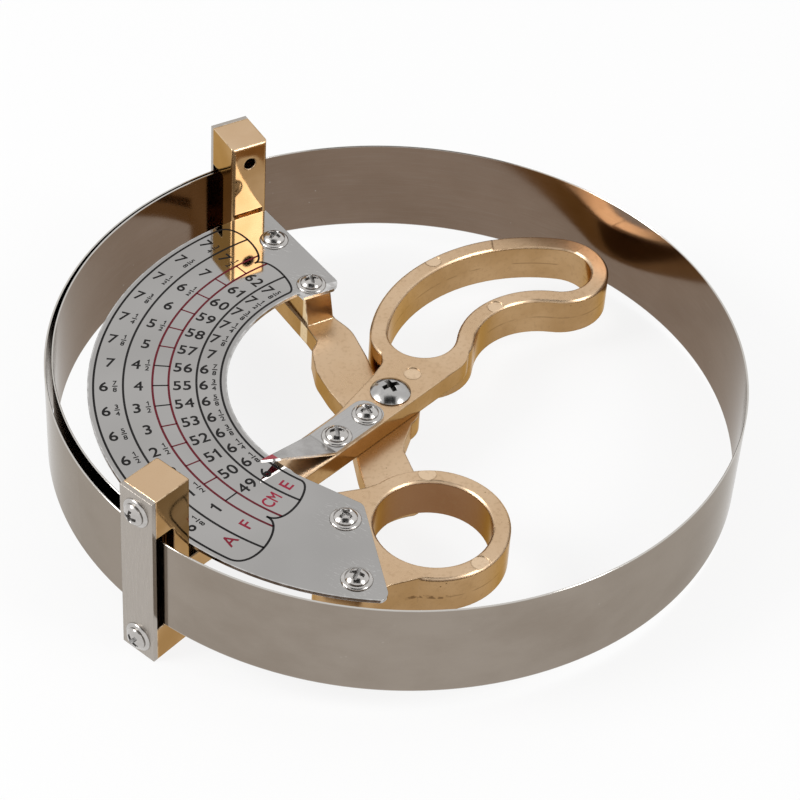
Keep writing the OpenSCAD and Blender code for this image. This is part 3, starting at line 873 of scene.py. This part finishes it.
def cap_reach(radius):
    """How far the rounded ends of the tracks stand out at a radius, as a share of their bulge."""
    outer, inner = (TRACKS_OUTER, CUSP) if radius > CUSP else (CUSP, TRACKS_INNER)
    t = (radius - inner) / (outer - inner) * 2 - 1
    return max(0.0, 1 - t * t) ** CAP_POWER


def between(start, end, steps):
    """Numbers from start to end in even steps."""
    return [start + (end - start) * i / steps for i in range(steps + 1)]


def track_lines():
    """The lines round the tracks and the two bulges that close each end."""
    for colour, radius in LINES:
        start = UPPER - UPPER_CAP * cap_reach(radius)
        end = LOWER + LOWER_CAP * cap_reach(radius)
        stroke(colour, [polar(radius, angle) for angle in between(start, end, LINE_STEPS)], LINE_WIDTH)
    for base, bulge in ((LOWER, LOWER_CAP), (UPPER, -UPPER_CAP)):
        for outer, inner in ((TRACKS_OUTER, CUSP), (CUSP, TRACKS_INNER)):
            shares = [0.5 - 0.5 * cos(turn) for turn in between(0.0, pi, CAP_STEPS)]
            radii = [inner + (outer - inner) * share for share in shares]
            stroke("black", [polar(r, base + bulge * (cap_reach(r) if 0 < i < CAP_STEPS else 0))
                             for i, r in enumerate(radii)], LINE_WIDTH)


def scale_print():
    """Four tracks of head sizes; the third, between ladder and lines, is the girth in centimetres."""
    track_lines()
    for value in range(FIRST, LAST + 1):
        steps = value - FIRST
        angle = FRONT - STEP * steps
        stroke("black" if value in BLACK_RUNGS else "maroon",
               [polar(LADDER_OUTER, angle), polar(LADDER_INNER, angle)], RUNG_WIDTH)
        mixed_number(6 + (1 + steps) // 8, (1 + steps) % 8, TRACK_A, angle)
        mixed_number(1 + steps // 2, 4 * (steps % 2), TRACK_F, angle)
        write("black", str(value), TRACK_CM, angle, DIGIT)
        mixed_number(6 + steps // 8, steps % 8, TRACK_E, angle)
    for word, radius, wide in LETTERS:
        write("red", word, radius, LOWER - LETTERS_IN, LETTER, wide=wide)


scale_print()
for colour, shape in printed.items():
    piece("scale_print_" + colour, shape, INKS[colour], "thumb")


# Studio: places and sizes in metres

TABLE_HALF, TABLE_GLOW = 3.0, 0.85
CARD_PLACE, CARD_HALF, CARD_SHAPE = Vector((0.0, -0.5, 1.2)), 0.5, (1.1, 0.75, 1)
LAMP_AIM = Vector((0, 0, 0.02))
LAMPS = (("lamp_left", Vector((-0.75, -0.15, 0.55)), 0.45, 4.0),
         ("lamp_right", Vector((0.75, -0.34, 0.73)), 0.4, 3.0))
ROOM_LIGHT = 0.7
# Where the photograph was taken from: the place in millimetres, the angles in radians, the focal
# length and the frame in pixels, the sensor in millimetres.
CAMERA_PLACE = Vector((-1.01536, -441.85926, 417.68287))
YAW, PITCH, ROLL = 0.00746, 0.73136, 0.06991
FOCAL, FRAME_WIDTH, SENSOR = 2627.83, 800, 36.0


def table():
    """A pale table, tilted to touch both post feet and the band's low edge on the right."""
    front_foot, rear_foot = direction(FRONT) * POST_R, direction(REAR) * POST_R
    band_foot = Vector((BAND_RIGHT, 0, BAND_LOW))
    up = (band_foot - front_foot).cross(rear_foot - front_foot)
    up = up if up.z > 0 else -up
    shape = bmesh.new()
    bmesh.ops.create_grid(shape, x_segments=2, y_segments=2, size=TABLE_HALF)
    bmesh.ops.rotate(shape, cent=PIVOT, verts=shape.verts,
                     matrix=UP.rotation_difference(up.normalized()).to_matrix())
    bmesh.ops.translate(shape, vec=front_foot * MM, verts=shape.verts)
    white = Finish("table_white", (0.9, 0.9, 0.9), 0.9, 0.0)
    glow = white.node("Emission", None, {"Color": rgb(1, 1, 1), "Strength": 1.0})
    plain = Value(white, white.skin.outputs[0])
    both = white.node("MixShader", None, {0: white.seen() * TABLE_GLOW, 1: plain, 2: glow})
    white.join(white.output.inputs[0], both)
    made = made_of("table", shape, white)


def dark_card():
    """A dark screen high above the camera, which draws the rounded metal's shape."""
    shape = bmesh.new()
    bmesh.ops.create_grid(shape, x_segments=2, y_segments=2, size=CARD_HALF)
    bmesh.ops.scale(shape, vec=CARD_SHAPE, verts=shape.verts)
    bmesh.ops.rotate(shape, cent=PIVOT, verts=shape.verts,
                     matrix=(-CARD_PLACE).to_track_quat("Z", "Y").to_matrix())
    bmesh.ops.translate(shape, vec=CARD_PLACE, verts=shape.verts)
    made = made_of("dark_card", shape, Finish("dark_cloth", (0.03, 0.03, 0.03), 0.9, 0.0))


def lamp(name, place, size, watts):
    """A round soft lamp that shines on the gauge."""
    data = bpy.data.lights.new(name, "AREA")
    data.shape = "DISK"
    data.size = size
    data.energy = watts
    made = bpy.data.objects.new(name, data)
    made.location = place
    made.rotation_euler = (LAMP_AIM - place).to_track_quat("-Z", "Y").to_euler()
    bpy.context.scene.collection.objects.link(made)


def room():
    """White all round to look at, with a softer light on the gauge."""
    world = bpy.data.worlds.new("studio")
    bpy.context.scene.world = world
    world.use_nodes = True
    walls = Nodes(world.node_tree)
    back = world.node_tree.nodes["Background"]
    walls.join(back.inputs["Color"], rgb(1, 1, 1))
    walls.join(back.inputs["Strength"], ROOM_LIGHT + (1 - ROOM_LIGHT) * walls.seen())


def camera():
    """Stands where the photograph was taken from."""
    ahead = Vector((sin(YAW) * cos(PITCH), cos(YAW) * cos(PITCH), -sin(PITCH)))
    level = Vector((cos(YAW), -sin(YAW), 0))
    above = level.cross(ahead)
    right = cos(ROLL) * level + sin(ROLL) * above
    above = -sin(ROLL) * level + cos(ROLL) * above
    data = bpy.data.cameras.new("photo_camera")
    data.sensor_width = SENSOR
    data.lens = FOCAL / FRAME_WIDTH * SENSOR
    made = bpy.data.objects.new("photo_camera", data)
    turn = Matrix((right, above, -ahead)).transposed().to_4x4()
    made.matrix_world = Matrix.Translation(CAMERA_PLACE * MM) @ turn
    bpy.context.scene.collection.objects.link(made)
    bpy.context.scene.camera = made


table()
dark_card()
for name, place, size, watts in LAMPS:
    lamp(name, place, size, watts)
room()
camera()
bpy.context.scene.view_settings.view_transform = "Standard"
